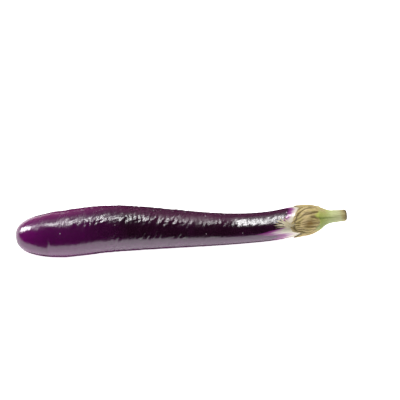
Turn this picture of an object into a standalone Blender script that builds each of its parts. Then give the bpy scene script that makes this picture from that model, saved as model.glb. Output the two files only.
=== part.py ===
"""A long purple eggplant, picked with its calyx and a short stem, lying on its side.

Frame: +X runs from the blossom end to the cut stem, +Z is up and z = 0 is the surface
that the fruit lies on. Everything is in metres. Each piece is first turned about the
X axis, where a point has a distance along the spine and a distance from it, and is
then bent onto the spine.
"""
import math

import bmesh
import bpy
from mathutils import Vector

MM = 0.001
GAP = 0.3 * MM  # clearance between neighbouring pieces

# The fruit: a full belly, a long taper and an even neck.
FRUIT_LENGTH = 268 * MM
BELLY_RADIUS = 20.9 * MM
NECK_RADIUS = 13.2 * MM
TAPER_START = 60 * MM
TAPER_END = 220 * MM
BLOSSOM_LENGTH = 60 * MM  # the rounding of the blossom end
BLOSSOM_FULLNESS = 2.6  # 2 is an ellipse, more is blunter
SHOULDER_LENGTH = 20 * MM  # the rounding under the calyx

# How it lies: the underside is pressed flat around the middle and rises to both ends.
REST_CENTRE = 105 * MM
REST_HALF_LENGTH = 75 * MM
REST_DEPTH = 0.9 * MM
NECK_RISE_START = 215 * MM
NECK_RISE = 0.8 * MM  # how far the neck lifts at the calyx, more towards the stem
STEM_END_RISE = 1.4 * MM

# Sideways bow of the spine: distance from the blossom end and offset along +Y.
SIDE_BOW = (
    (0 * MM, -5.0 * MM),
    (40 * MM, -3.8 * MM),
    (80 * MM, 0.1 * MM),
    (120 * MM, 0.0 * MM),
    (180 * MM, -1.8 * MM),
    (225 * MM, -1.0 * MM),
    (255 * MM, 2.6 * MM),
    (292 * MM, 3.6 * MM),
)

# The calyx: a cup over the shoulder of the fruit, with five pointed lobes.
CUP_TOP = 270.3 * MM
CUP_TOP_RADIUS = 8.4 * MM
CUP_RADIUS = 13.8 * MM
CUP_WIDEST = 254 * MM
NOTCH = 250 * MM  # where the lobes part
LONGEST_LOBE = 18 * MM
LOBE_TIP = NOTCH - LONGEST_LOBE
LOBE_POINT = 0.9  # 1 is a straight-sided lobe, less is fuller
LOBE_EDGE = 0.7 * MM  # thickness at the lobe's edge
SHORTEST_REACH = 0.3 * MM  # keeps the rings of the shell apart at the notches
# Each lobe's middle, as degrees up from -Y, its half width in degrees and its length.
LOBES = (
    (39, 52, 18 * MM),
    (123, 32, 11 * MM),
    (187, 32, 13 * MM),
    (251, 32, 12 * MM),
    (315, 32, 11 * MM),
)

# The stem: a foot that flares onto the cup, a slightly tapered stalk and a cut end.
STEM_END = 292 * MM
STEM_FOOT_LENGTH = 9 * MM
STEM_RADIUS = 5.6 * MM
STEM_TIP_RADIUS = 5.0 * MM
STEM_ROUNDING = 2.8 * MM

FRUIT_STATIONS, FRUIT_SIDES = 40, 36
END_CROWDING = 0.65  # 0 spaces the fruit's stations evenly, 1 crowds them at its ends
CUP_STATIONS, CUP_SIDES = 9, 60
STEM_STATIONS, STEM_SIDES = 6, 24
ROUNDING_STEPS = 3
SHARP_ANGLE = 40  # degrees; edges turned more than this stay sharp


def eased(share):
    """0 to 1 with level ends."""
    share = min(max(share, 0.0), 1.0)
    return 0.5 - 0.5 * math.cos(math.pi * share)


def through(points, at):
    """A smooth curve through (distance, value) points."""
    for start, ((x0, y0), (x1, y1)) in enumerate(zip(points, points[1:])):
        if at <= x1 or x1 == points[-1][0]:
            break
    before = points[max(start - 1, 0)]
    after = points[min(start + 2, len(points) - 1)]
    span = x1 - x0
    slope0 = (y1 - before[1]) / (x1 - before[0]) * span
    slope1 = (after[1] - y0) / (after[0] - x0) * span
    t = (at - x0) / span
    return (
        (2 * t**3 - 3 * t**2 + 1) * y0
        + (t**3 - 2 * t**2 + t) * slope0
        + (3 * t**2 - 2 * t**3) * y1
        + (t**3 - t**2) * slope1
    )


def girth(x):
    """The fruit's radius before its ends are rounded."""
    taper = eased((x - TAPER_START) / (TAPER_END - TAPER_START))
    return BELLY_RADIUS + (NECK_RADIUS - BELLY_RADIUS) * taper


def fruit_radius(x):
    """The fruit's radius at a distance from its blossom end."""
    radius = girth(x)
    if x < BLOSSOM_LENGTH:
        share = 1 - max(x, 0.0) / BLOSSOM_LENGTH
        radius *= (1 - share**BLOSSOM_FULLNESS) ** (1 / BLOSSOM_FULLNESS)
    shoulder = FRUIT_LENGTH - SHOULDER_LENGTH
    if x > shoulder:
        share = min((x - shoulder) / SHOULDER_LENGTH, 1.0)
        radius *= math.sqrt(1 - share**2)
    return radius


def spine(x):
    """The centre of the piece at a distance from the blossom end."""
    lift = REST_DEPTH * ((x - REST_CENTRE) / REST_HALF_LENGTH) ** 2 - REST_DEPTH
    lift += NECK_RISE * eased((x - NECK_RISE_START) / (NOTCH - NECK_RISE_START))
    lift += (STEM_END_RISE - NECK_RISE) * max(x - NOTCH, 0) / (STEM_END - NOTCH)
    return Vector((x, through(SIDE_BOW, x), girth(x) + lift))


def turned(profile, sides):
    """A closed mesh turned about the X axis from (x, radius) points, pole to pole."""
    mesh = bmesh.new()
    chain = [mesh.verts.new((x, -radius, 0)) for x, radius in profile]
    edges = [mesh.edges.new(pair) for pair in zip(chain, chain[1:])]
    bmesh.ops.spin(
        mesh,
        geom=chain + edges,
        cent=(0, 0, 0),
        axis=(1, 0, 0),
        angle=math.tau,
        steps=sides,
        use_merge=True,
    )
    bmesh.ops.remove_doubles(mesh, verts=mesh.verts, dist=GAP / 10)
    bmesh.ops.recalc_face_normals(mesh, faces=mesh.faces)
    return mesh


def bend(mesh):
    """Moves a turned mesh onto the spine, each ring square to it."""
    step = 1 * MM
    for vert in mesh.verts:
        x, side, up = vert.co
        along = (spine(x + step) - spine(x - step)).normalized()
        across = Vector((0, 0, 1)).cross(along).normalized()
        vert.co = spine(x) + across * side + along.cross(across) * up


def finish(name, mesh, colour, roughness):
    """Puts a mesh in the scene as a smooth object with its own material."""
    data = bpy.data.meshes.new(name)
    mesh.to_mesh(data)
    mesh.free()
    data.shade_smooth()
    data.set_sharp_from_angle(angle=math.radians(SHARP_ANGLE))
    material = bpy.data.materials.new(name)
    material.use_nodes = True
    shader = material.node_tree.nodes["Principled BSDF"]
    shader.inputs["Base Color"].default_value = (*colour, 1)
    shader.inputs["Roughness"].default_value = roughness
    data.materials.append(material)
    piece = bpy.data.objects.new(name, data)
    bpy.context.scene.collection.objects.link(piece)
    return piece


def fruit_profile():
    """Blossom end to shoulder, with the stations crowded towards the rounded ends."""
    shares = [step / FRUIT_STATIONS for step in range(FRUIT_STATIONS + 1)]
    even = 1 - END_CROWDING
    distances = [FRUIT_LENGTH * (even * share + END_CROWDING * eased(share)) for share in shares]
    return [(x, fruit_radius(x)) for x in distances]


def make_fruit():
    """The body, with the flat spot it lies on."""
    mesh = turned(fruit_profile(), FRUIT_SIDES)
    bend(mesh)
    cut = bmesh.ops.bisect_plane(
        mesh,
        geom=mesh.verts[:] + mesh.edges[:] + mesh.faces[:],
        plane_co=(0, 0, 0),
        plane_no=(0, 0, -1),
        clear_outer=True,
    )
    rim = [part for part in cut["geom_cut"] if isinstance(part, bmesh.types.BMEdge)]
    bmesh.ops.contextual_create(mesh, geom=rim)
    bmesh.ops.recalc_face_normals(mesh, faces=mesh.faces)
    return finish("fruit", mesh, (0.06, 0.005, 0.05), 0.25)


def cup_lining():
    """The cup's inside, from its pole over the shoulder to the tip of the longest lobe."""
    shoulder = FRUIT_LENGTH - SHOULDER_LENGTH
    points = []
    for step in range(CUP_STATIONS + 1):
        turn = math.pi / 2 * step / CUP_STATIONS
        x = shoulder + SHOULDER_LENGTH * math.cos(turn)
        points.append((x + GAP * math.cos(turn), fruit_radius(x) + GAP * math.sin(turn)))
    for step in range(1, CUP_STATIONS + 1):
        x = shoulder + (LOBE_TIP - shoulder) * step / CUP_STATIONS
        points.append((x, fruit_radius(x) + GAP))
    return points


def cup_outside(x):
    """The cup's outer radius, from its top down to the tip of the longest lobe."""
    if x > CUP_WIDEST:
        share = (x - CUP_WIDEST) / (CUP_TOP - CUP_WIDEST)
        return CUP_RADIUS + (CUP_TOP_RADIUS - CUP_RADIUS) * share**2
    share = (CUP_WIDEST - x) / (CUP_WIDEST - LOBE_TIP)
    edge = fruit_radius(x) + GAP + LOBE_EDGE
    return CUP_RADIUS + (edge - CUP_RADIUS) * eased(share)


def lobe_reach(angle):
    """How far the calyx reaches past the notches in this direction."""
    for middle, half_width, length in LOBES:
        turn = (angle - middle + 180) % 360 - 180
        if abs(turn) <= half_width:
            return length * (1 - abs(turn) / half_width) ** LOBE_POINT
    return 0.0


def cut_lobes(mesh):
    """Draws the cup's lower edge back between the lobes, along the fruit's skin."""
    for vert in mesh.verts:
        x, side, up = vert.co
        if x >= NOTCH:
            continue
        reach = max(lobe_reach(math.degrees(math.atan2(up, -side))), SHORTEST_REACH)
        moved = NOTCH - (NOTCH - x) * reach / LONGEST_LOBE
        radius = math.hypot(side, up)
        scale = (radius - fruit_radius(x) + fruit_radius(moved)) / radius
        vert.co = moved, side * scale, up * scale


def make_calyx():
    """The cup and its five lobes, one solid shell around the fruit's shoulder."""
    rises = [step / CUP_STATIONS for step in range(CUP_STATIONS + 1)]
    lobes = [LOBE_TIP + LONGEST_LOBE * rise for rise in rises]
    crown = [NOTCH + (CUP_TOP - NOTCH) * rise for rise in rises[1:]]
    outside = [(x, cup_outside(x)) for x in lobes + crown]
    mesh = turned(cup_lining() + outside + [(CUP_TOP, 0)], CUP_SIDES)
    cut_lobes(mesh)
    bend(mesh)
    return finish("calyx", mesh, (0.30, 0.22, 0.09), 0.7)


def stem_radius(x):
    """The foot's flare runs out into the even taper of the stalk."""
    foot = CUP_TOP + GAP
    flare = max(1 - (x - foot) / STEM_FOOT_LENGTH, 0) ** 2
    taper = (x - foot) / (STEM_END - foot)
    stalk = STEM_RADIUS + (STEM_TIP_RADIUS - STEM_RADIUS) * taper
    return stalk + (CUP_TOP_RADIUS - STEM_RADIUS) * flare


def make_stem():
    """The short stalk, standing on the cup, with a softly rounded cut."""
    foot = CUP_TOP + GAP
    shoulder = STEM_END - STEM_ROUNDING
    stalk = [foot + (shoulder - foot) * step / STEM_STATIONS for step in range(STEM_STATIONS + 1)]
    rounding = []
    for step in range(1, ROUNDING_STEPS + 1):
        turn = math.pi / 2 * step / ROUNDING_STEPS
        inset = STEM_ROUNDING * (1 - math.cos(turn))
        rounding.append((shoulder + STEM_ROUNDING * math.sin(turn), stem_radius(shoulder) - inset))
    profile = [(foot, 0)] + [(x, stem_radius(x)) for x in stalk] + rounding + [(STEM_END, 0)]
    mesh = turned(profile, STEM_SIDES)
    bend(mesh)
    return finish("stem", mesh, (0.35, 0.38, 0.17), 0.6)


def main():
    for old in list(bpy.data.objects):
        bpy.data.objects.remove(old)
    pieces = [make_fruit(), make_calyx(), make_stem()]
    # The frame's origin is under the middle of the whole object.
    corners = [vert.co for piece in pieces for vert in piece.data.vertices]
    middle = [(min(c[axis] for c in corners) + max(c[axis] for c in corners)) / 2 for axis in (0, 1)]
    for piece in pieces:
        piece.location = (-middle[0], -middle[1], 0)


main()
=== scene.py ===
import math

import bpy
import numpy as np
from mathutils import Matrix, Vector


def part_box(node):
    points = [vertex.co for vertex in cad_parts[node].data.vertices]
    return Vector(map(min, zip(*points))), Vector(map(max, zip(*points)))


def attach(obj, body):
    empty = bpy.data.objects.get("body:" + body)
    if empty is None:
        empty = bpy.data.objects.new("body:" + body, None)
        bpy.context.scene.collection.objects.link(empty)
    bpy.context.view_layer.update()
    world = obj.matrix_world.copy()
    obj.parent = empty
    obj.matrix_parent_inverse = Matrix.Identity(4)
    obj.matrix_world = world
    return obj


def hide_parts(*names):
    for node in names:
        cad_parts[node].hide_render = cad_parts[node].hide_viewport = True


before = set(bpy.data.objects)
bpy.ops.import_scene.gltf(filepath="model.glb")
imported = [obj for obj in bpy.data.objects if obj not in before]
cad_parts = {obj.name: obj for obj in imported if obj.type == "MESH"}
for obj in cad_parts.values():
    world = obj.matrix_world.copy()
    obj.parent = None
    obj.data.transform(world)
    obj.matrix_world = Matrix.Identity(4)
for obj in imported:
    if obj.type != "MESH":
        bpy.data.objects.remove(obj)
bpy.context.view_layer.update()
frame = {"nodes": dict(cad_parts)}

mm = 0.001
print("frame loaded:", ", ".join(frame["nodes"]))


def eased(share):  # 0 to 1 with level ends
    return 0.5 - 0.5 * np.cos(np.pi * np.clip(share, 0, 1))


def bell(offset, width):  # 1 in the middle, falling away on both sides
    return np.exp(-((offset / width) ** 2))


# smooth curve through points: cubic pieces, each slope taken from the two neighbours
def through(at, values, x):
    i = np.clip(np.searchsorted(at, x, side="right") - 1, 0, len(at) - 2)
    before = np.maximum(i - 1, 0)
    after = np.minimum(i + 2, len(at) - 1)
    span = at[i + 1] - at[i]
    slope0 = (values[i + 1] - values[before]) / (at[i + 1] - at[before]) * span
    slope1 = (values[after] - values[i]) / (at[after] - at[i]) * span
    t = (x - at[i]) / span
    return (
        (2 * t**3 - 3 * t**2 + 1) * values[i]
        + (t**3 - 2 * t**2 + t) * slope0
        + (3 * t**2 - 2 * t**3) * values[i + 1]
        + (t**3 - t**2) * slope1
    )


def degreesFrom(lowest, angle):  # an angle in degrees, turned by whole turns to start at the lowest
    return (np.degrees(angle) - lowest) % 360 + lowest


def ripples(points, lengths, seed, heading=(0, 0, 0), spread=1.0):
    # sum of sine waves over space, one per wavelength, heading one way give or take the spread
    random = np.random.default_rng(seed)
    total = np.zeros(points.shape[:-1])
    for length in lengths:
        direction = np.array(heading) + random.normal(size=3) * spread
        direction /= np.linalg.norm(direction)
        total += np.sin(2 * np.pi * (points @ direction) / length + random.uniform(0, 2 * np.pi))
    return total / math.sqrt(len(lengths))


def streaks(angle, seed, low=5, high=46, count=18):  # lines along the fruit: waves in the angle alone
    random = np.random.default_rng(seed)
    total = np.zeros(angle.shape)
    for _ in range(count):
        waves = random.integers(low, high)
        total += np.sin(waves * angle + random.uniform(0, 2 * np.pi)) / math.sqrt(waves / low)
    return total / math.sqrt(count)


def evenRows(profile, start, end, count):  # stations spaced evenly along a profile's own curve
    s = np.linspace(start, end, 6000)
    r = profile(s)
    run = np.concatenate([[0], np.cumsum(np.hypot(np.diff(s), np.diff(r)))])
    return np.interp(np.linspace(0, run[-1], count), run, s)


def ringMesh(name, points, numbers, material):
    # rings of points, closed round and drawn to a pole at each end; numbers become vertex attributes
    rows, columns = points.shape[:2]
    flat = points[1:-1].reshape(-1, 3)
    first, last = points[0].mean(0), points[-1].mean(0)
    count = len(flat)
    vertices = np.vstack([flat, first, last]).astype(np.float32)
    ring = np.arange(count).reshape(rows - 2, columns)
    turned = np.roll(ring, -1, axis=1)
    quads = np.stack([ring[:-1], ring[1:], turned[1:], turned[:-1]], -1).reshape(-1, 4)
    startFan = np.stack([np.full(columns, count), ring[0], turned[0]], -1)
    endFan = np.stack([ring[-1], np.full(columns, count + 1), turned[-1]], -1)
    loops = np.concatenate([quads.ravel(), startFan.ravel(), endFan.ravel()])
    sizes = np.concatenate([np.full(len(quads), 4), np.full(2 * columns, 3)])
    mesh = bpy.data.meshes.new(name)
    mesh.vertices.add(len(vertices))
    mesh.vertices.foreach_set("co", vertices.ravel())
    mesh.loops.add(len(loops))
    mesh.loops.foreach_set("vertex_index", loops.astype(np.int32))
    mesh.polygons.add(len(sizes))
    starts = np.concatenate([[0], np.cumsum(sizes)[:-1]])
    mesh.polygons.foreach_set("loop_start", starts.astype(np.int32))
    mesh.polygons.foreach_set("loop_total", sizes.astype(np.int32))
    mesh.polygons.foreach_set("use_smooth", np.ones(len(sizes), dtype=bool))
    mesh.update(calc_edges=True)
    mesh.validate()
    for key, values in numbers.items():
        wide = values.ndim == 3
        ends = np.stack([values[0].mean(0), values[-1].mean(0)])
        packed = np.concatenate([values[1:-1].reshape((-1, 3) if wide else -1), ends])
        attribute = mesh.attributes.new(key, "FLOAT_VECTOR" if wide else "FLOAT", "POINT")
        attribute.data.foreach_set("vector" if wide else "value", packed.astype(np.float32).ravel())
    mesh.materials.append(material)
    piece = bpy.data.objects.new(name, mesh)
    bpy.context.scene.collection.objects.link(piece)
    return piece


def kept(piece, node):  # one body, no joints: every piece rides on root
    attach(piece, "root")
    if node:
        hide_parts(node)
    return piece


def settle(piece, shift):  # moves a piece's points, so that the object itself stays at the origin
    places = np.empty(3 * len(piece.data.vertices), np.float32)
    piece.data.vertices.foreach_get("co", places)
    places = (places.reshape(-1, 3) + shift).astype(np.float32)
    piece.data.vertices.foreach_set("co", places.ravel())
    piece.data.update()


class Nodes:  # one material's nodes, each added and linked by a short call
    def __init__(self, name):
        self.material = bpy.data.materials.new(name)
        self.material.use_nodes = True
        self.tree = self.material.node_tree
        self.shader = self.tree.nodes["Principled BSDF"]

    def add(self, kind, **settings):
        node = self.tree.nodes.new("ShaderNode" + kind)
        for key, value in settings.items():
            setattr(node, key, value)
        return node

    def link(self, source, target):
        self.tree.links.new(source, target)

    def feed(self, socket, value):
        if isinstance(value, bpy.types.NodeSocket):
            self.link(value, socket)
        elif isinstance(value, (tuple, list)) and len(value) == 3 and len(socket.default_value) == 4:
            socket.default_value = (*value, 1)
        else:
            socket.default_value = value

    def number(self, name):
        return self.add("Attribute", attribute_name=name).outputs["Fac"]

    def vector(self, name):
        return self.add("Attribute", attribute_name=name).outputs["Vector"]

    def stretched(self, vector, scale):
        node = self.add("Mapping")
        self.link(vector, node.inputs["Vector"])
        node.inputs["Scale"].default_value = scale
        return node.outputs["Vector"]

    def noise(self, vector, scale, detail=3, rough=0.55):
        node = self.add("TexNoise")
        self.link(vector, node.inputs["Vector"])
        node.inputs["Scale"].default_value = scale
        node.inputs["Detail"].default_value = detail
        node.inputs["Roughness"].default_value = rough
        return node.outputs["Fac"]

    def maths(self, operation, a, b=0.0, clamp=False):
        node = self.add("Math", operation=operation, use_clamp=clamp)
        self.feed(node.inputs[0], a)
        self.feed(node.inputs[1], b)
        return node.outputs[0]

    def ranged(self, value, low, high, newLow=0.0, newHigh=1.0):
        node = self.add("MapRange")
        for socket, given in zip(node.inputs, (value, low, high, newLow, newHigh)):
            self.feed(socket, given)
        return node.outputs["Result"]

    def mix(self, share, a, b):
        node = self.add("Mix", data_type="RGBA")
        colours = [socket for socket in node.inputs if socket.type == "RGBA"]
        self.feed(node.inputs[0], share)
        self.feed(colours[0], a)
        self.feed(colours[1], b)
        return [socket for socket in node.outputs if socket.type == "RGBA"][0]

    def ramp(self, value, stops):
        node = self.add("ValToRGB")
        self.link(value, node.inputs["Fac"])
        elements = node.color_ramp.elements
        while len(elements) < len(stops):
            elements.new(0.5)
        for element, (place, colour) in zip(elements, stops):
            element.position = place
            element.color = (*colour, 1)
        return node.outputs["Color"]

    def bump(self, height, distance, strength=1.0, before=None):
        node = self.add("Bump")
        node.inputs["Strength"].default_value = strength
        node.inputs["Distance"].default_value = distance
        self.link(height, node.inputs["Height"])
        if before is not None:
            self.link(before, node.inputs["Normal"])
        return node.outputs["Normal"]

    def finish(self, **sockets):
        for key, value in sockets.items():
            self.feed(self.shader.inputs[key], value)
        return self.material


view = dict(
    azimuth=-3.5,
    elevation=50,
    distance=1.2,
    fieldWidth=0.3524,        # how much of the object's plane the frame shows
    sideways=15.2 * mm,       # the frame's centre from the object's, to the right and up in the frame
    upwards=25.6 * mm,
    targetHeight=17 * mm,
)


def makeCamera():  # stands back from a point beside the object, with the lens that shows fieldWidth there
    a, e = math.radians(view["azimuth"]), math.radians(view["elevation"])
    back = np.array([math.sin(a) * math.cos(e), -math.cos(a) * math.cos(e), math.sin(e)])
    right = np.array([math.cos(a), math.sin(a), 0])
    up = np.cross(back, right)
    target = np.array([0, 0, view["targetHeight"]])
    place = target + right * view["sideways"] + up * view["upwards"] + back * view["distance"]
    data = bpy.data.cameras.new("camera")
    data.sensor_width = 36
    data.lens = data.sensor_width * view["distance"] / view["fieldWidth"]
    data.clip_start, data.clip_end = 0.05, 50
    camera = bpy.data.objects.new("camera", data)
    camera.location = place
    camera.rotation_euler = (math.radians(90) - e, 0, a)
    bpy.context.scene.collection.objects.link(camera)
    bpy.context.scene.camera = camera


# The body of the fruit. Distances run along the spine from the blossom end, angles are in degrees
# up from the front (-Y), over the top to the back.
fruit = dict(
    length=268 * mm,
    belly=20.9 * mm,
    neck=13.2 * mm,
    taperStart=60 * mm,
    taperEnd=220 * mm,
    blossomLength=60 * mm,
    blossomFullness=2.6,
    shoulderLength=20 * mm,
    rows=600,
    columns=162,
    swell=0.16 * mm,         # long, low unevenness of the outline
    dent=0.15 * mm,          # shallow dents a centimetre or so apart
    crease=0.31 * mm,        # fine creases that run round the fruit and break the highlight
    lean=0.45,               # how far the creases lean towards the stem as they climb
    creasedFrom=30 * mm,
    creasedTo=188 * mm,
    calmAt=163 * mm,         # a smoother stretch where the highlight fades
    calmLength=15 * mm,
    dullFrom=74 * mm,        # duller here, and most of all beside the smoother stretch
    dullTo=192 * mm,
    dullestAt=160 * mm,
    foldAt=27.5 * mm,        # the fold under the blossom end
    foldAngle=31,
    foldDepth=1.0 * mm,
    farFoldAt=41 * mm,       # a smaller one on the far side
    farFoldAngle=205,
    farFoldDepth=0.4 * mm,
    neckFrom=182 * mm,       # from here on the skin is smooth, with only faint rings
    neckFlat=0.13,           # the neck is a little flat on top, as a share of its radius
    neckFlatFrom=176 * mm,
    neckFlatTo=244 * mm,
    neckFlatAngle=86,
    paleWidth=10.5 * mm,     # the pale skin beside the calyx, and how much wider it is below
    paleBelow=16 * mm,
    shinyAngle=85,           # where the highlight runs
    shinyAt=np.array([9, 31, 51, 63, 74]) * mm,  # near the blossom end it is broken into these patches
    shinyWidth=np.array([13, 9, 3.5, 6, 4]) * mm,
    scarRadius=1.7 * mm,
    scarDepth=0.5 * mm,
    gloss=(0.13, 0.22),      # roughness where it is clean
    dulling=(0.08, 0.28),    # and how much the dull places add
    mirroring=1.71,          # index of refraction of the waxy skin
    # colours: along the body, then from the blossom end to the stem where there are two
    darkSkin=(0.0135, 0.0010, 0.0088),
    blossomSkin=(0.074, 0.0007, 0.063),
    tipSkin=(0.150, 0.0008, 0.122),
    mottledSkin=(0.034, 0.0024, 0.024),
    # underside: partly paler skin, partly painted light from the bright floor
    underLitSkin=((0.125, 0.012, 0.110), (0.085, 0.018, 0.078)),
    # ruddy top: partly the skin's own redder colour, partly painted sheen
    ruddySheenSkin=((0.21, 0.019, 0.135), (0.068, 0.0085, 0.042)),
    # painted sheen broken into fine pebbles over the ruddy top
    pebbledSheenSkin=((0.33, 0.060, 0.22), (0.10, 0.014, 0.070)),
    # painted shade on the lower band before the fold
    foldShadeSkin=(0.080, 0.003, 0.062),
    speck=(0.55, 0.48, 0.52),
    # from the body's colour to the pale skin beside the calyx
    paleSkin=(
        (0.0, (0.0135, 0.0010, 0.0088)),
        (0.14, (0.085, 0.004, 0.068)),
        (0.28, (0.22, 0.035, 0.18)),
        (0.46, (0.33, 0.085, 0.28)),
        (0.62, (0.62, 0.44, 0.53)),
        (0.78, (0.80, 0.74, 0.62)),
        (1.0, (0.76, 0.70, 0.52)),
    ),
)


# How it lies and bends: the spine's height follows the girth, its sideways bow these points.
lie = dict(
    restCentre=105 * mm,
    restHalf=75 * mm,
    restDepth=0.9 * mm,
    neckRiseStart=215 * mm,
    neckRise=0.8 * mm,
    stemRise=1.5 * mm,
    bowAt=np.array([0, 40, 80, 120, 180, 225, 255, 292]) * mm,
    bow=np.array([-5.0, -3.8, 0.1, 0.0, -1.8, -1.0, 2.6, 3.6]) * mm,
)


def girth(s):  # radius without the rounded ends: belly eased down to neck
    taper = eased((s - fruit["taperStart"]) / (fruit["taperEnd"] - fruit["taperStart"]))
    return fruit["belly"] + (fruit["neck"] - fruit["belly"]) * taper


def fruitRadius(s):  # girth times a superellipse at the blossom end and an ellipse at the shoulder
    blossom = 1 - np.clip(s, 0, fruit["blossomLength"]) / fruit["blossomLength"]
    rounded = (1 - blossom ** fruit["blossomFullness"]) ** (1 / fruit["blossomFullness"])
    shoulder = np.clip(1 - (fruit["length"] - s) / fruit["shoulderLength"], 0, 1)
    return girth(s) * rounded * np.sqrt(1 - shoulder**2)


def spine(s):  # centre line: height from girth plus a parabola, sideways from the bow
    lift = lie["restDepth"] * (((s - lie["restCentre"]) / lie["restHalf"]) ** 2 - 1)
    lift += lie["neckRise"] * eased((s - lie["neckRiseStart"]) / (calyx["notch"] - lie["neckRiseStart"]))
    past = np.maximum(s - calyx["notch"], 0) / (stem["end"] - calyx["notch"])
    lift += (lie["stemRise"] - lie["neckRise"]) * past
    return np.stack([s, through(lie["bowAt"], lie["bow"], s), girth(s) + lift], -1)


# a point at a distance and an angle (up from -Y) round the spine, on a ring square to it
def bent(s, radius, angle):
    step = 1 * mm
    along = spine(s + step) - spine(s - step)
    along /= np.linalg.norm(along, axis=-1, keepdims=True)
    across = np.stack([-along[..., 1], along[..., 0], 0 * s], -1)
    across /= np.linalg.norm(across, axis=-1, keepdims=True)
    side = (-radius * np.cos(angle))[..., None]
    rise = (radius * np.sin(angle))[..., None]
    return spine(s) + across * side + np.cross(along, across) * rise


# purple by distance from the blossom end, then mottling, the underside (partly paler skin, partly painted
# light from the floor), the ruddy top (partly skin colour, partly painted sheen), painted shade before
# the fold and the pale neck are mixed over it one after another
def makeSkinMaterial():
    f = fruit
    n = Nodes("skin")
    straight = n.vector("straight")
    blossom = n.number("blossom")
    pale = n.number("pale")
    ruddySheen = n.number("ruddySheen")
    under = n.number("under")
    scar = n.number("scar")
    patches = n.noise(straight, 55, 3)
    mottle = n.noise(n.stretched(straight, (0.7, 1, 1)), 260, 4, 0.65)
    fine = n.noise(n.stretched(straight, (0.6, 1, 1)), 1000, 3)
    long = n.noise(n.stretched(straight, (0.06, 1, 1)), 700, 3)
    streak = n.noise(n.stretched(n.vector("leant"), (1, 0.22, 0.22)), 520, 3, 0.6)
    rings = n.noise(n.stretched(straight, (1, 0.12, 0.12)), 900, 2)

    def blended(colours):  # from the stem's colour to the blossom end's
        return n.mix(blossom, colours[1], colours[0])

    brightness = n.maths("ADD", blossom, n.ranged(patches, 0.3, 0.7, -0.16, 0.16), True)
    purple = n.mix(brightness, f["darkSkin"], f["blossomSkin"])
    purple = n.mix(n.number("tip"), purple, f["tipSkin"])
    purple = n.mix(n.ranged(mottle, 0.35, 0.75, 0.0, 0.30), purple, f["mottledSkin"])
    # a lighter underside: partly paler skin, partly painted light from the floor
    underLitShare = n.maths("MULTIPLY", under, n.ranged(mottle, 0.3, 0.7, 0.75, 1.0))
    purple = n.mix(underLitShare, purple, blended(f["underLitSkin"]))
    # the ruddy top and its pebbles: partly skin colour, partly painted sheen
    ruddySheenShare = n.maths("MULTIPLY", ruddySheen, n.ranged(mottle, 0.3, 0.7, 0.6, 1.0))
    purple = n.mix(ruddySheenShare, purple, blended(f["ruddySheenSkin"]))
    pebbledSheenShare = n.maths("MULTIPLY", ruddySheen, n.ranged(fine, 0.5, 0.72, 0.0, 0.5))
    purple = n.mix(pebbledSheenShare, purple, blended(f["pebbledSheenSkin"]))
    # painted shade on the lower band before the fold
    purple = n.mix(n.maths("MULTIPLY", n.number("foldShade"), 0.5), purple, f["foldShadeSkin"])
    wander = n.maths("ADD", pale, n.ranged(long, 0.3, 0.7, -0.10, 0.10))
    base = n.mix(n.ranged(pale, 0.02, 0.2), purple, n.ramp(wander, f["paleSkin"]))
    # sparse pale specks, one to a cell at most, none underneath
    cells = n.add("TexVoronoi")
    n.link(straight, cells.inputs["Vector"])
    cells.inputs["Scale"].default_value = 150
    near = n.ranged(cells.outputs["Distance"], 0.05, 0.10, 1.0, 0.0)
    chosen = n.add("SeparateColor")
    n.link(cells.outputs["Color"], chosen.inputs["Color"])
    speck = n.maths("MULTIPLY", near, n.ranged(chosen.outputs[0], 0.60, 0.62))
    speck = n.maths("MULTIPLY", speck, n.ranged(under, 0.0, 0.4, 1.0, 0.0))
    base = n.mix(n.maths("MULTIPLY", speck, 0.8), base, f["speck"])
    base = n.mix(scar, base, n.mix(fine, (0.08, 0.035, 0.025), (0.28, 0.18, 0.11)))
    rough = n.ranged(mottle, 0.3, 0.7, *f["gloss"])
    dulling = n.maths("MULTIPLY", n.number("dull"), n.ranged(streak, 0.35, 0.65, *f["dulling"]))
    rough = n.maths("MAXIMUM", n.maths("ADD", rough, dulling), n.maths("MULTIPLY", scar, 0.7))
    # leaning streaks along the body, faint rings on the neck
    faint = n.maths("ADD", 0.40, n.maths("MULTIPLY", rings, 0.20))
    uneven = n.mix(n.number("neck"), streak, faint)
    relief = n.bump(fine, 0.00010, 0.4)
    relief = n.bump(uneven, 0.00035, 0.8, relief)
    return n.finish(**{
        "Base Color": base,
        "Roughness": rough,
        "Normal": relief,
        "IOR": f["mirroring"],
    })


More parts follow.
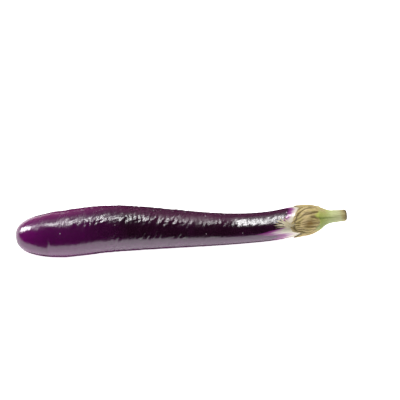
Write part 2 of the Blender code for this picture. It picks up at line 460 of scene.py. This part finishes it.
# rings along the spine: the radius plus swell, dents and creases, less the fold and the flat top,
# and the scar sunk into the blossom end
def makeFruit(material):
    f = fruit
    s = evenRows(fruitRadius, 0, f["length"], f["rows"])[:, None]
    angle = np.linspace(0, 2 * np.pi, f["columns"], endpoint=False)[None, :]
    s, angle = np.broadcast_arrays(s, angle)
    around = np.degrees(angle)
    degrees = degreesFrom(-180, angle)
    radius = fruitRadius(s)
    # the unbent place of each point, which the patterns read, and the same with the ends left square
    straight = np.stack([s, -radius * np.cos(angle), radius * np.sin(angle)], -1)
    square = np.stack([s, -girth(s) * np.cos(angle), girth(s) * np.sin(angle)], -1)
    body = np.clip(radius / girth(s), 0, 1)  # 0 at the poles, so that they stay smooth
    swell = ripples(square, np.array([90, 75, 62, 50, 41, 33]) * mm, 3)
    dent = ripples(square, np.linspace(9, 17, 12) * mm, 4, (1, -f["lean"], 0), 0.5)
    crease = ripples(square, np.linspace(3.2, 6.4, 30) * mm, 8, (1, -f["lean"], 0), 0.38)
    patchy = eased(0.5 + 0.4 * ripples(square, np.array([30, 24, 19, 15, 12]) * mm, 5))
    # creased along the middle of the body, smoother at the blossom end and the neck
    wander = 9 * mm * ripples(square, np.array([26, 20, 16]) * mm, 6)
    creased = eased((s + wander - f["creasedFrom"]) / (60 * mm))
    creased = creased * eased((f["creasedTo"] - s + 0.3 * wander) / (14 * mm))
    calm = bell(s - f["calmAt"], f["calmLength"])
    crease = crease * (1 - 0.5 * calm)
    dent = dent * (1 - 0.7 * calm)
    dented = 0.3 + 0.9 * eased((s - 20 * mm) / (25 * mm))
    dented = dented * (1 - 0.85 * eased((s - 172 * mm) / (18 * mm)))
    relief = f["swell"] * swell + f["dent"] * dent * dented
    creaseShare = 0.05 + 0.02 * eased((s - 180 * mm) / (20 * mm))
    creaseShare = creaseShare + 0.10 * eased((s - f["creasedFrom"]) / (20 * mm))
    creaseShare = creaseShare + 0.85 * creased * (0.3 + 0.7 * patchy)
    relief = relief + f["crease"] * crease * creaseShare
    relief = relief * (0.35 + 0.65 * eased((np.sin(angle) - 0.35) / 0.5))  # less of it underneath
    radius = radius + body * relief
    # the fold deepens slowly from the blossom end and stops short
    foldLine = f["foldAt"] - 1.2 * mm * np.sin(angle)
    fold = np.where(s < foldLine, bell(s - foldLine, 9 * mm), bell(s - foldLine, 2.0 * mm))
    fold = fold * bell(angle - np.radians(f["foldAngle"]), 0.34)
    # painted shade: darker on the lower band before the fold
    foldShade = bell(np.minimum(s - foldLine, 0), 11 * mm) * (s < foldLine)
    foldShade = foldShade * eased((30 - degrees) / 12) * eased((degrees + 60) / 40)
    farFold = bell(s - f["farFoldAt"], 2.6 * mm) * bell(angle - np.radians(f["farFoldAngle"]), 0.5)
    radius = radius - f["foldDepth"] * fold - f["farFoldDepth"] * farFold
    fromFlat = angle - np.radians(f["neckFlatAngle"])
    flatTop = eased((s - f["neckFlatFrom"]) / (18 * mm)) * eased((f["neckFlatTo"] - s) / (14 * mm))
    flatTop = flatTop * bell(fromFlat, 0.66)
    radius = radius * (1 - flatTop * (f["neckFlat"] - 0.10 * fromFlat))
    scar = bell(fruitRadius(s), f["scarRadius"]) * (s < f["blossomLength"])
    points = bent(s + f["scarDepth"] * scar, radius, angle)
    points[..., 2] = np.maximum(points[..., 2], 0)  # pressed flat where it rests
    # pale skin beside the calyx, wider below the facing lobe, in streaks
    below = eased((40 - degrees) / 18) * eased((degrees + 75) / 50)
    width = (f["paleWidth"] + f["paleBelow"] * below) * (1 + 0.30 * streaks(angle, 11))
    pale = np.clip(1 - (calyxMargin(angle) - s) / width, 0, 1)
    # dull between the shiny patches, in the creased stretch and a little at the neck
    dull = eased((s + wander - f["dullFrom"]) / (40 * mm))
    dull = dull * eased((f["dullTo"] - s + 0.4 * wander) / (14 * mm))
    dull = dull * (0.34 + 1.5 * bell(s - f["dullestAt"], 14 * mm))
    shiny = sum(
        bell((s - at + 0.15 * wander) / width, 1) ** 2
        for at, width in zip(f["shinyAt"], f["shinyWidth"])
    )
    between = (1 - np.clip(1.2 * shiny, 0, 1)) * eased((96 * mm - s) / (20 * mm))
    onNeck = eased((s - 190 * mm) / (14 * mm)) * eased((252 * mm - s) / (10 * mm))
    dull = np.maximum(dull, np.maximum(0.85 * between, 0.15 * onNeck))
    dull = dull * (0.08 + 0.92 * bell(degrees - f["shinyAngle"], 20))
    # redder and lighter on top and behind, lower down along the middle: partly the skin's own colour,
    # partly painted sheen
    lower = 26 * eased((s - 80 * mm) / (50 * mm)) * eased((205 * mm - s) / (25 * mm))
    ruddySheen = eased((around - 80 + lower) / 42) * eased((215 - around) / 40)
    leant = straight.copy()
    leant[..., 0] -= f["lean"] * straight[..., 1]
    numbers = dict(
        straight=straight,
        leant=leant,
        pale=pale,
        blossom=eased(1.25 - s / (95 * mm)),
        tip=eased(1 - s / (34 * mm)),
        scar=eased(2.2 * scar - 0.6),
        dull=dull,
        ruddySheen=ruddySheen,
        # the underside's paler skin and painted light from the floor
        under=eased((32 - degrees) / 22) * eased((degrees + 110) / 40),
        foldShade=foldShade,
        neck=eased((s - f["neckFrom"]) / (14 * mm)),
    )
    piece = ringMesh("eggplantSkin", points, numbers, material)
    return kept(piece, "fruit"), points


calyx = dict(
    top=270.3 * mm,          # where it meets the stem
    topRadius=8.4 * mm,
    radius=13.8 * mm,
    widest=254 * mm,
    notch=250 * mm,          # where the lobes part
    edge=0.55 * mm,          # thickness at their edges
    gap=0.15 * mm,           # between them and the fruit
    rows=96,
    columns=420,
    # each lobe: its tip in degrees up from -Y, how far it spreads below and above, its length and
    # how full its lower and upper halves are (1 is straight sided)
    lobes=(
        (39, 39, 67, 11.0 * mm, 3.6, 1.0),
        (134, 28, 24, 3.2 * mm, 1.2, 1.3),
        (187, 29, 30, 13 * mm, 1.2, 1.2),
        (250, 34, 34, 12 * mm, 1.3, 1.2),
        (320, 36, 40, 8.5 * mm, 1.3, 1.6),
    ),
    hollowAt=256.5 * mm,     # the hollow near the facing lobe's base
    hollowAngle=33,
    hollowDepth=0.9 * mm,
    foldHeight=0.27 * mm,
    ribHeight=0.40 * mm,     # down the middle of the other lobes
    grainHeight=0.13 * mm,
    # colours, each between two
    # crests: partly the dried tone, partly painted light
    litRidges=((0.72, 0.56, 0.29), (0.54, 0.43, 0.16)),
    # furrows: partly the dried tone, partly painted shade
    shadedFurrows=((0.185, 0.135, 0.046), (0.105, 0.074, 0.024)),
    ochre=((0.10, 0.055, 0.012), (0.34, 0.21, 0.055)),
    green=((0.44, 0.54, 0.055), (0.68, 0.74, 0.19)),
    # painted shade on the crown's lower front: a darker, cooler green
    shadedGreen=((0.27, 0.33, 0.16), (0.40, 0.47, 0.27)),
)


# which lobe an angle falls in, and how far it is from the tip: 0 there, 1 at the notch
def lobeShare(angle):
    degrees = np.degrees(angle)
    offset = np.ones(angle.shape)
    length = np.full(angle.shape, 1 * mm)
    shape = np.ones(angle.shape)
    which = np.zeros(angle.shape, int)
    for number, (tip, below, above, reach, lowShape, highShape) in enumerate(calyx["lobes"]):
        turn = (degrees - tip + 180) % 360 - 180
        inside = (turn >= -below) & (turn <= above)
        offset = np.where(inside, np.where(turn < 0, turn / below, turn / above), offset)
        length = np.where(inside, reach, length)
        shape = np.where(inside, np.where(turn < 0, lowShape, highShape), shape)
        which = np.where(inside, number, which)
    return offset, length, shape, which


def calyxMargin(angle):  # where the calyx ends on the fruit: pointed lobes with slightly ragged edges
    offset, length, shape, which = lobeShare(angle)
    reach = length * (1 - np.abs(offset) ** shape)
    ragged = 0.22 * np.sin(23 * angle + 1.0) + 0.16 * np.sin(41 * angle + 2.5) + 0.1 * np.sin(67 * angle)
    return calyx["notch"] - reach - ragged * mm * (0.4 + 0.6 * (1 - np.abs(offset)))


# outer radius: a cap from the top to its widest, then thinning to the lobe's edge
def calyxOutside(s, margin):
    cap = np.clip((s - calyx["widest"]) / (calyx["top"] - calyx["widest"]), 0, None)
    crown = calyx["radius"] + (calyx["topRadius"] - calyx["radius"]) * cap**2
    down = np.clip((calyx["widest"] - s) / (calyx["widest"] - margin), 0, 1)
    edge = fruitRadius(s) + calyx["gap"] + calyx["edge"]
    return np.where(s > calyx["widest"], crown, crown + (edge - crown) * eased(down))


# a furrow under the stem, from the calyx's crown out along the stalk
def greenGroove(s, angle):
    turned = degreesFrom(-90, angle)
    line = 50 - 9 * (s - 264 * mm) / (14 * mm)
    return bell(turned - line, 6) * eased((s - 260 * mm) / (5 * mm)) * eased((288 * mm - s) / (12 * mm))


# tan on the folds' crests and brown down in them by their height, partly the calyx's own tone and partly
# painted light and shade, then fibres, the hollow, the margin and the green crown, with painted shade on
# its lower front and in the furrow under the stem
def makeCalyxMaterial():
    c = calyx
    n = Nodes("calyx")
    straight = n.vector("straight")
    flow = n.vector("flow")
    fibre = n.noise(n.stretched(flow, (0.12, 1, 1)), 900, 4, 0.6)
    fibreWide = n.noise(n.stretched(flow, (0.18, 1, 1)), 330, 3)
    blotch = n.noise(straight, 170, 3)
    # painted light on the crests and painted shade in the furrows, over the dried tan and brown
    light = n.mix(n.ranged(blotch, 0.35, 0.65), *c["litRidges"])
    dark = n.mix(blotch, *c["shadedFurrows"])
    tone = n.maths("ADD", n.number("height"), n.ranged(fibreWide, 0.3, 0.7, -0.30, 0.30))
    base = n.mix(n.ranged(tone, 0.18, 0.72), dark, light)
    base = n.mix(n.ranged(fibre, 0.54, 0.68, 0.0, 0.75), base, (0.095, 0.062, 0.022))
    base = n.mix(n.ranged(fibre, 0.45, 0.32, 0.0, 0.6), base, (0.64, 0.53, 0.34))
    base = n.mix(n.maths("MULTIPLY", n.number("hollow"), 0.85), base, n.mix(fibreWide, *c["ochre"]))
    base = n.mix(n.maths("MULTIPLY", n.number("margin"), 0.8), base, (0.56, 0.42, 0.26))
    greenish = n.mix(fibreWide, *c["green"])
    # painted shade on the lower front
    greenish = n.mix(n.number("lowerShade"), greenish, n.mix(fibreWide, *c["shadedGreen"]))
    greenish = n.mix(n.ranged(fibre, 0.54, 0.74, 0.0, 0.5), greenish, (0.15, 0.19, 0.035))
    # painted shade in the furrow under the stem
    greenish = n.mix(n.maths("MULTIPLY", n.number("grooveShade"), 0.7), greenish, (0.07, 0.115, 0.018))
    base = n.mix(n.maths("MULTIPLY", n.number("green"), 0.92, True), base, greenish)
    relief = n.bump(fibre, 0.0004, 0.7)
    relief = n.bump(fibreWide, 0.0008, 0.6, relief)
    return n.finish(**{
        "Base Color": base,
        "Roughness": n.ranged(fibre, 0.3, 0.7, 0.62, 0.85),
        "Normal": relief,
        "Specular IOR Level": 0.3,
    })


# one closed wall: a collar inside the stem's foot, down the outside to the lobes' edges, back up inside
def makeCalyx(material):
    c = calyx
    angle = np.linspace(0, 2 * np.pi, c["columns"], endpoint=False)[None, :]
    margin = calyxMargin(angle)
    offset, length, shape, which = lobeShare(angle)
    facing = bell((np.degrees(angle) - c["lobes"][0][0] + 180) % 360 - 180, 44)

    def liftAt(t):  # the lobes' ends stand a little off the skin, the facing one most
        return (0.25 + 0.75 * facing) * 0.9 * mm * np.clip((t - 0.72) / 0.28, 0, 1) ** 2

    # outside, from the top down to the margin
    t = np.linspace(0, 1, c["rows"])[:, None]
    s = c["top"] + (margin - c["top"]) * t
    outer = calyxOutside(s, margin)
    inLobe = np.clip((c["notch"] - s) / np.maximum(length, 1 * mm), 0, 1)
    lobeHalf = np.clip((1 - inLobe) ** (1 / shape), 0.04, 1)
    q = np.clip(np.abs(offset) / lobeHalf, 0, 1) + 0 * s  # 0 on the lobe's midline, 1 at its margin
    wobble = 0.10 * np.sin(s / (3.1 * mm) + 3 * angle) + 0.06 * np.sin(s / (1.7 * mm) - 5 * angle)
    turned = degreesFrom(-90, angle)
    # the facing lobe has a hollow near its base with ridges round it; elsewhere the folds run to the tips
    alongHollow = (s - c["hollowAt"]) / (6.4 * mm)
    acrossHollow = (turned - c["hollowAngle"]) / 17
    fromHollow = np.hypot(alongHollow, acrossHollow)
    heading = np.arctan2(acrossHollow, alongHollow)
    swirl = 0.13 * np.sin(s / (1.9 * mm) + 7 * angle) + 0.09 * np.sin(s / (1.2 * mm) - 13 * angle)
    ringed = bell(fromHollow - 0.85, 0.7) * (turned < 85) * eased((turned - 14) / 16)
    ringed = ringed * (0.10 + 0.90 * (0.5 + 0.5 * np.cos(heading - np.radians(140))))
    fan = np.clip((s - c["notch"] + length) / (c["top"] - c["notch"] + length), 0.02, 1) ** 0.6
    across = np.clip(np.abs(offset) / fan, 0, 2.5)
    folds = np.cos(2 * np.pi * (2.1 * across + wobble)) * (0.35 + 0.65 * t) * (1 - ringed)
    ridge = 1.3 * bell(fromHollow - 1.2 + swirl, 0.24) - 0.9 * bell(fromHollow - 1.7 + swirl, 0.2)
    folds = folds + ringed * ridge
    rib = bell(q, 0.16) * (1 - facing)
    grain = streaks(angle + 0 * s, 21, 24, 90, 26)
    rise = eased(np.clip((c["top"] - s) / (4 * mm), 0, 1))
    relief = c["foldHeight"] * folds + c["ribHeight"] * rib + c["grainHeight"] * grain
    relief = (relief + 0.35 * mm * facing * bell(q - 0.72, 0.2)) * rise
    fromAngle = turned - c["hollowAngle"]
    along = s - c["hollowAt"] + 1.3 * mm * np.sin(9 * angle) - 0.10 * mm * fromAngle
    hollow = bell(along, 4.6 * mm) * bell(fromAngle, 14)
    relief = relief - c["hollowDepth"] * hollow - 0.3 * mm * greenGroove(s, angle)
    outer = outer - 0.8 * mm * bell(turned - 135, 45) * bell(s - 256 * mm, 13 * mm)
    outer = outer + relief * (0.45 + 0.55 * np.clip((s - margin) / (3 * mm), 0, 1)) + liftAt(t)
    # inside, from the margin back up under the cap
    tBack = np.linspace(1, 0, 26)[1:, None]
    sBack = c["top"] - 3 * mm + (margin - c["top"] + 3 * mm) * tBack
    inner = np.maximum(fruitRadius(np.minimum(sBack, 262 * mm)) + c["gap"], 2 * mm)
    inner = np.minimum(inner, calyxOutside(sBack, margin) - 0.3 * mm) + liftAt(tBack)
    # the collar that runs into the stem, a little inside the outer wall
    collarIn = np.full((1, c["columns"]), c["top"] - 1.5 * mm)
    middle = np.zeros((1, c["columns"]))
    allS = np.vstack([collarIn, collarIn, s, sBack, sBack[-1:]])
    allR = np.vstack([middle, middle + c["topRadius"] - 1.2 * mm, outer, inner, middle])
    allAngle = np.broadcast_to(angle, allS.shape)
    points = bent(allS[::-1], allR[::-1], allAngle)

    def whole(outside, inside):  # values of the outside rows, one value for all the hidden ones
        inside = np.full((len(sBack) + 1, c["columns"]), inside)
        return np.vstack([outside[:1], outside[:1], outside, inside])[::-1]

    straight = np.stack([allS, -allR * np.cos(allAngle), allR * np.sin(allAngle)], -1)[::-1]
    # dried down to the stalk on top and below, still green in the furrow under it
    greenStart = 267.5 - 6.5 * bell(turned - 63, 18) - 7.5 * bell(turned + 4, 28)
    greenStart = (greenStart + 3.5 * bell(turned - 130, 36)) * mm
    # fibres fan out from each lobe's tip up to the crown: across by the share of the fan's width
    flowAcross = np.clip(offset / fan, -2.5, 2.5) * 13 * mm + which * 80 * mm
    flow = np.stack([whole(s, 0.25), whole(flowAcross, 0.0), whole(0 * s, 0.0)], -1)
    # crests lighter and furrows darker, partly painted light and shade, with a painted shade line just
    # inside the facing lobe's edge
    height = 0.55 + 0.5 * (0.75 * folds + 0.3 * grain) - 0.8 * facing * bell(t - 0.90, 0.028)
    numbers = dict(
        straight=straight,
        flow=flow,
        height=whole(height, 0.3),
        hollow=whole(np.clip(hollow * 1.15, 0, 1), 0.0),
        margin=whole(np.clip((t - 0.955) / 0.045, 0, 1) * (1 - 0.2 * facing), 0.6),
        green=whole(eased((s - greenStart) / (5 * mm) + 0.18 * grain), 0.0),
        # painted shade on the lower front
        lowerShade=whole(0.8 * bell(turned - 2, 38) + 0 * s, 0.0),
        # painted shade in the furrow under the stem
        grooveShade=whole(greenGroove(s, angle), 0.0),
    )
    return kept(ringMesh("calyxCup", points, numbers, material), "calyx")


# The facing lobe's tip has dried into loose strands: distance, angle and height above the skin.
strands = dict(
    sides=10,
    rows=40,
    paths=(
        ((245, 40, 0.6), (239.5, 42, 1.2), (236, 52, 1.9), (233, 64, 2.7), (231, 75, 3.6)),
        ((244, 37, 0.6), (238, 40, 1.0), (234, 45, 1.5), (229, 49, 1.9), (225.5, 51, 1.6)),
        ((243, 41, 0.8), (237.5, 46, 1.6), (233.5, 55, 2.5), (230, 62, 3.3), (228, 66, 3.9)),
        ((242, 36, 0.6), (236, 38, 0.9), (231, 41, 1.1), (226.5, 41, 0.6)),
        ((244, 44, 0.6), (239, 52, 1.2), (236, 64, 1.7), (235, 76, 1.9)),
        ((241, 38, 0.9), (235, 44, 1.8), (231, 51, 2.6), (227, 58, 2.9)),
    ),
    widths=(2.0, 1.1, 1.8, 0.6, 1.2, 1.3),
    flatness=0.4,            # thickness as a share of the width
    twist=0.5,
    colours=((0.72, 0.66, 0.48), (0.56, 0.48, 0.30)),
    fibreColour=(0.22, 0.16, 0.08),
    rootColours=((0.16, 0.12, 0.05), (0.42, 0.34, 0.16)),
)


# pale and tan patches with dark fibres, darker at the root
def makeStrandMaterial():
    n = Nodes("strand")
    flow = n.vector("flow")
    fibre = n.noise(n.stretched(flow, (0.15, 1, 1)), 1100, 4, 0.6)
    patch = n.noise(flow, 260, 2)
    base = n.mix(n.ranged(patch, 0.35, 0.65), *strands["colours"])
    base = n.mix(n.ranged(fibre, 0.53, 0.70, 0.0, 0.6), base, strands["fibreColour"])
    root = n.mix(fibre, *strands["rootColours"])
    base = n.mix(n.ranged(n.number("along"), 0.0, 0.30, 0.85, 0.0), base, root)
    return n.finish(**{
        "Base Color": base,
        "Roughness": 0.75,
        "Normal": n.bump(fibre, 0.0003, 0.6),
        "Specular IOR Level": 0.3,
    })


def makeStrand(number, path, width, material):  # a flat tube that tapers along a smooth path
    path = np.array(path, float)
    knots = np.arange(len(path), dtype=float)
    t = np.linspace(0, 1, strands["rows"])
    at = t * (len(path) - 1)
    s = through(knots, path[:, 0], at) * mm
    angle = np.radians(through(knots, path[:, 1], at))
    height = through(knots, path[:, 2], at) * mm
    centre = bent(s, fruitRadius(s) + height, angle)
    outward = centre - spine(s)
    along = np.gradient(centre, axis=0)
    along /= np.linalg.norm(along, axis=-1, keepdims=True)
    across = np.cross(along, outward)
    across /= np.linalg.norm(across, axis=-1, keepdims=True)
    outward = np.cross(across, along)
    turn = np.linspace(0, 2 * np.pi, strands["sides"], endpoint=False)
    taper = (1 - t) ** 0.6 * (0.25 + 0.75 * eased(t / 0.22))
    size = width * mm * taper * (0.85 + 0.15 * np.sin(17 * t + number))
    size[0] = 0
    twist = strands["twist"] * t * (number % 2 * 2 - 1)  # every other one the other way
    x = np.cos(turn)[None, :] * size[:, None]
    y = np.sin(turn)[None, :] * size[:, None] * strands["flatness"]
    flatX = x * np.cos(twist)[:, None] - y * np.sin(twist)[:, None]
    flatY = x * np.sin(twist)[:, None] + y * np.cos(twist)[:, None]
    points = centre[:, None] + flatX[..., None] * across[:, None] + flatY[..., None] * outward[:, None]
    ones = np.ones(points.shape[:2])
    flow = np.stack([s[:, None] * ones, x + number * 7 * mm, y], -1)
    numbers = dict(along=t[:, None] * ones, flow=flow)
    return kept(ringMesh(f"calyxStrand{number + 1}", points, numbers, material), None)


stem = dict(
    start=266 * mm,          # inside the calyx
    end=292 * mm,
    footAt=270.6 * mm,       # the flare that stands on the calyx
    footLength=9 * mm,
    footRadius=8.4 * mm,
    radius=5.6 * mm,
    tipRadius=5.0 * mm,
    rounding=2.4 * mm,
    ribs=5,
    ribHeight=0.28 * mm,
    knobHeight=0.12 * mm,
    furrowDepth=0.35 * mm,
    rows=120,
    columns=120,
    colours=(                # from the foot to the cut end
        (0.0, (0.36, 0.43, 0.07)),
        (0.22, (0.44, 0.50, 0.13)),
        (0.45, (0.56, 0.60, 0.27)),
        (0.74, (0.55, 0.55, 0.29)),
        (0.86, (0.42, 0.35, 0.15)),
        (1.0, (0.17, 0.12, 0.055)),
    ),
    # painted shade on the underside: a darker, cooler green
    underShadeColour=(0.25, 0.33, 0.19),
    dryColours=((0.70, 0.56, 0.27), (0.42, 0.33, 0.13)),
)


def stemRadius(s):  # an even taper, flaring into the foot
    flare = np.clip(1 - (s - stem["footAt"]) / stem["footLength"], 0, 1.3) ** 2
    taper = (s - stem["footAt"]) / (stem["end"] - stem["footAt"])
    stalk = stem["radius"] + (stem["tipRadius"] - stem["radius"]) * taper
    return stalk + (stem["footRadius"] - stem["radius"]) * flare


# green by distance along, painted shade in a darker, cooler green on the underside, the dried foot,
# fibres, painted shade in the furrow and the cut end
def makeStemMaterial():
    n = Nodes("stem")
    straight = n.vector("straight")
    fibre = n.noise(n.stretched(straight, (0.08, 1, 1)), 1300, 4, 0.6)
    blotch = n.noise(n.stretched(straight, (0.5, 1, 1)), 330, 3)
    along = n.maths("ADD", n.number("along"), n.ranged(blotch, 0.3, 0.7, -0.06, 0.06))
    base = n.ramp(along, stem["colours"])
    # painted shade on the underside
    base = n.mix(n.maths("MULTIPLY", n.number("under"), 0.55), base, stem["underShadeColour"])
    base = n.mix(n.maths("MULTIPLY", n.number("dry"), 0.9), base, n.mix(fibre, *stem["dryColours"]))
    base = n.mix(n.ranged(fibre, 0.5, 0.75, 0.0, 0.55), base, (0.18, 0.18, 0.06))
    base = n.mix(n.ranged(fibre, 0.46, 0.3, 0.0, 0.4), base, (0.46, 0.48, 0.28))
    # painted shade in the furrow under the stem
    base = n.mix(n.maths("MULTIPLY", n.number("grooveShade"), 0.65), base, (0.09, 0.14, 0.025))
    base = n.mix(n.number("cut"), base, n.mix(blotch, (0.075, 0.055, 0.03), (0.20, 0.15, 0.075)))
    relief = n.bump(fibre, 0.0003, 0.6)
    relief = n.bump(blotch, 0.0008, 0.5, relief)
    return n.finish(**{
        "Base Color": base,
        "Roughness": n.ranged(fibre, 0.3, 0.7, 0.55, 0.8),
        "Normal": relief,
        "Specular IOR Level": 0.35,
    })


# rings along the stalk, a rounded shoulder and a cut face that dips and rises again in the middle
def makeStem(material):
    m = stem
    shoulder = m["end"] - m["rounding"]
    stalk = np.linspace(m["start"], shoulder, m["rows"])
    turn = np.linspace(0, np.pi / 2, 10)[1:]
    roundedS = shoulder + m["rounding"] * np.sin(turn)
    roundedR = stemRadius(shoulder) - m["rounding"] * (1 - np.cos(turn))
    inwards = np.linspace(1, 0, 18)[1:]
    faceR = roundedR[-1] * inwards
    faceS = m["end"] - 0.5 * mm * eased((1 - inwards) * 2.5) + 0.35 * mm * bell(inwards, 0.35)
    s = np.concatenate([[m["start"]], stalk, roundedS, faceS])[:, None]
    r = np.concatenate([[0], stemRadius(stalk), roundedR, faceR])[:, None]
    angle = np.linspace(0, 2 * np.pi, m["columns"], endpoint=False)[None, :]
    s, r, angle = np.broadcast_arrays(s, r, angle)
    share = (s - m["start"]) / (m["end"] - m["start"])
    twist = angle + 0.5 * share
    ribs = np.cos(m["ribs"] * twist + 0.6) + 0.5 * np.cos(11 * twist + 2)
    ribs = ribs + 0.3 * streaks(angle, 31, 12, 50, 16)
    smooth = np.stack([s, -r * np.cos(angle), r * np.sin(angle)], -1)
    knobs = ripples(smooth, np.array([9, 7, 5, 4]) * mm, 9)
    outward = np.clip(r / m["tipRadius"], 0, 1)  # 0 in the middle of both ends, so that they stay smooth
    full = r + outward * (m["ribHeight"] * ribs * (1 - 0.6 * share) + m["knobHeight"] * knobs)
    full = full - m["furrowDepth"] * greenGroove(s, angle)
    points = bent(s, full, angle)
    straight = np.stack([s, -full * np.cos(angle), full * np.sin(angle)], -1)
    rim = eased((s - shoulder) / m["rounding"] * 1.2 - 0.1)
    dryEnd = 0.40 + 0.03 * np.sin(9 * angle)
    numbers = dict(
        straight=straight,
        along=share,
        # painted shade on the underside
        under=bell(degreesFrom(-180, angle) + 20, 40) * bell(share - 0.3, 0.4),
        # painted shade in the furrow under the stem
        grooveShade=greenGroove(s, angle),
        dry=bell(degreesFrom(-90, angle) - 120, 42) * eased((dryEnd - share) / 0.18),
        cut=np.where(s > shoulder, rim, 0) * (1 - 0.5 * bell(r, 2.2 * mm)),
    )
    return kept(ringMesh("stemStalk", points, numbers, material), "stem")


studio = dict(
    floor=((-1.2, -0.18), (1.2, 1.2)),
    floorColour=(0.84, 0.84, 0.84),
    floorGlow=0.95,
    backdrop=1.0,
    surround=0.018,          # what is mirrored where there is no lamp
    # each lamp: place, size across and up, brightness on plain surfaces and in what shiny ones mirror
    lamps=dict(
        overhead=((-0.12, 0.54, 2.0), (1.0, 0.66), 20.0, 0.0),
        overBlossom=((-0.42, 0.54, 2.0), (0.44, 0.52), 0.0, 17.5),
        overNeck=((0.275, 0.54, 2.0), (0.29, 0.68), 0.0, 21.0),
        halo=((0.05, 1.15, 1.75), (2.2, 0.9), 0.0, 0.6),
        left=((-1.7, 0.72, 1.1), (0.75, 1.3), 1.0, 20.0),
        back=((0.0, 1.6, 1.3), (5.0, 2.6), 0.2, 0.13),
        fill=((0.0, -1.6, 1.6), (4.0, 2.0), 0.7, 0.0),
    ),
    # a painted shadow: a dark card on the floor under and behind the fruit that its shiny edges mirror,
    # not seen directly
    shadowCardShare=1.02,
    shadowCardColour=(0.030, 0.012, 0.022),
)


def makeFloor():  # one plain pale sheet that also glows a little
    (x0, y0), (x1, y1) = studio["floor"]
    mesh = bpy.data.meshes.new("floor")
    mesh.from_pydata([(x0, y0, 0), (x1, y0, 0), (x1, y1, 0), (x0, y1, 0)], [], [(0, 1, 2, 3)])
    mesh.materials.append(Nodes("floor").finish(**{
        "Base Color": studio["floorColour"],
        "Roughness": 0.7,
        "Specular IOR Level": 0.2,
        "Emission Color": (1.0, 1.0, 1.0),
        "Emission Strength": studio["floorGlow"],
    }))
    floor = bpy.data.objects.new("floor", mesh)
    bpy.context.scene.collection.objects.link(floor)


def makeShadowCard(shift):  # painted shadow: a dark strip from under the fruit to far behind it, seen only in reflections
    s = np.linspace(0, stem["end"], 80)
    front = spine(s) + shift
    shadowed = np.where(s < 255 * mm, fruitRadius(np.minimum(s, 255 * mm)), 6 * mm)
    front[:, 1] -= studio["shadowCardShare"] * shadowed
    front[:, 2] = 0.4 * mm
    back = front.copy()
    back[:, 1] = 1.15
    count = len(s)
    mesh = bpy.data.meshes.new("shadowCard")
    quads = [(i, i + 1, count + i + 1, count + i) for i in range(count - 1)]
    mesh.from_pydata(np.vstack([front, back]).tolist(), [], quads)
    mesh.materials.append(Nodes("shadowCard").finish(**{
        "Base Color": (0.0, 0.0, 0.0),
        "Roughness": 1.0,
        "Specular IOR Level": 0.0,
        "Emission Color": studio["shadowCardColour"],
        "Emission Strength": 1.0,
    }))
    card = bpy.data.objects.new("shadowCard", mesh)
    card.visible_camera = card.visible_diffuse = card.visible_shadow = False
    bpy.context.scene.collection.objects.link(card)


def makeLamp(name, place, size, plain, mirrored):  # one lamp for plain surfaces and one for shiny ones
    for suffix, brightness in (("Plain", plain), ("Mirrored", mirrored)):
        if brightness == 0:
            continue
        data = bpy.data.lights.new(name + suffix, "AREA")
        data.shape = "RECTANGLE"
        data.size, data.size_y = size
        data.energy = brightness * math.pi * data.size * data.size_y
        lamp = bpy.data.objects.new(name + suffix, data)
        lamp.location = Vector(place) * (1.04 if suffix == "Plain" else 1.0)
        lamp.rotation_euler = (-Vector(place)).to_track_quat("-Z", "Y").to_euler()
        lamp.visible_camera = False
        lamp.visible_diffuse = suffix == "Plain"
        lamp.visible_glossy = suffix == "Mirrored"
        bpy.context.scene.collection.objects.link(lamp)


def makeWorld():  # a white backdrop for the camera, nearly dark for everything else
    world = bpy.data.worlds.new("studio")
    bpy.context.scene.world = world
    world.use_nodes = True
    tree = world.node_tree
    tree.nodes.clear()
    output = tree.nodes.new("ShaderNodeOutputWorld")
    path = tree.nodes.new("ShaderNodeLightPath")
    dim = tree.nodes.new("ShaderNodeBackground")
    seen = tree.nodes.new("ShaderNodeBackground")
    mix = tree.nodes.new("ShaderNodeMixShader")
    for node, level in ((dim, studio["surround"]), (seen, studio["backdrop"])):
        node.inputs["Color"].default_value = (level, level, level, 1)
    tree.links.new(path.outputs["Is Camera Ray"], mix.inputs["Fac"])
    tree.links.new(dim.outputs[0], mix.inputs[1])
    tree.links.new(seen.outputs[0], mix.inputs[2])
    tree.links.new(mix.outputs[0], output.inputs["Surface"])


makeCamera()
print("camera placed")

skinPiece, skinPoints = makeFruit(makeSkinMaterial())
# everything is drawn from the blossom end; the fruit's box says where that is
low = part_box("fruit")[0]
shift = np.array([low.x - skinPoints[..., 0].min(), low.y - skinPoints[..., 1].min(), 0.0])
settle(skinPiece, shift)
print("fruit made, moved by", np.round(shift / mm, 2), "mm")

settle(makeCalyx(makeCalyxMaterial()), shift)
print("calyx made")

strandMaterial = makeStrandMaterial()
for number, (path, width) in enumerate(zip(strands["paths"], strands["widths"])):
    settle(makeStrand(number, path, width, strandMaterial), shift)
print("strands made")

settle(makeStem(makeStemMaterial()), shift)
print("stem made")

makeFloor()
makeShadowCard(shift)
for lampName, lampSettings in studio["lamps"].items():
    makeLamp(lampName, *lampSettings)
makeWorld()
bpy.context.scene.view_settings.view_transform = "Standard"
print("studio set")
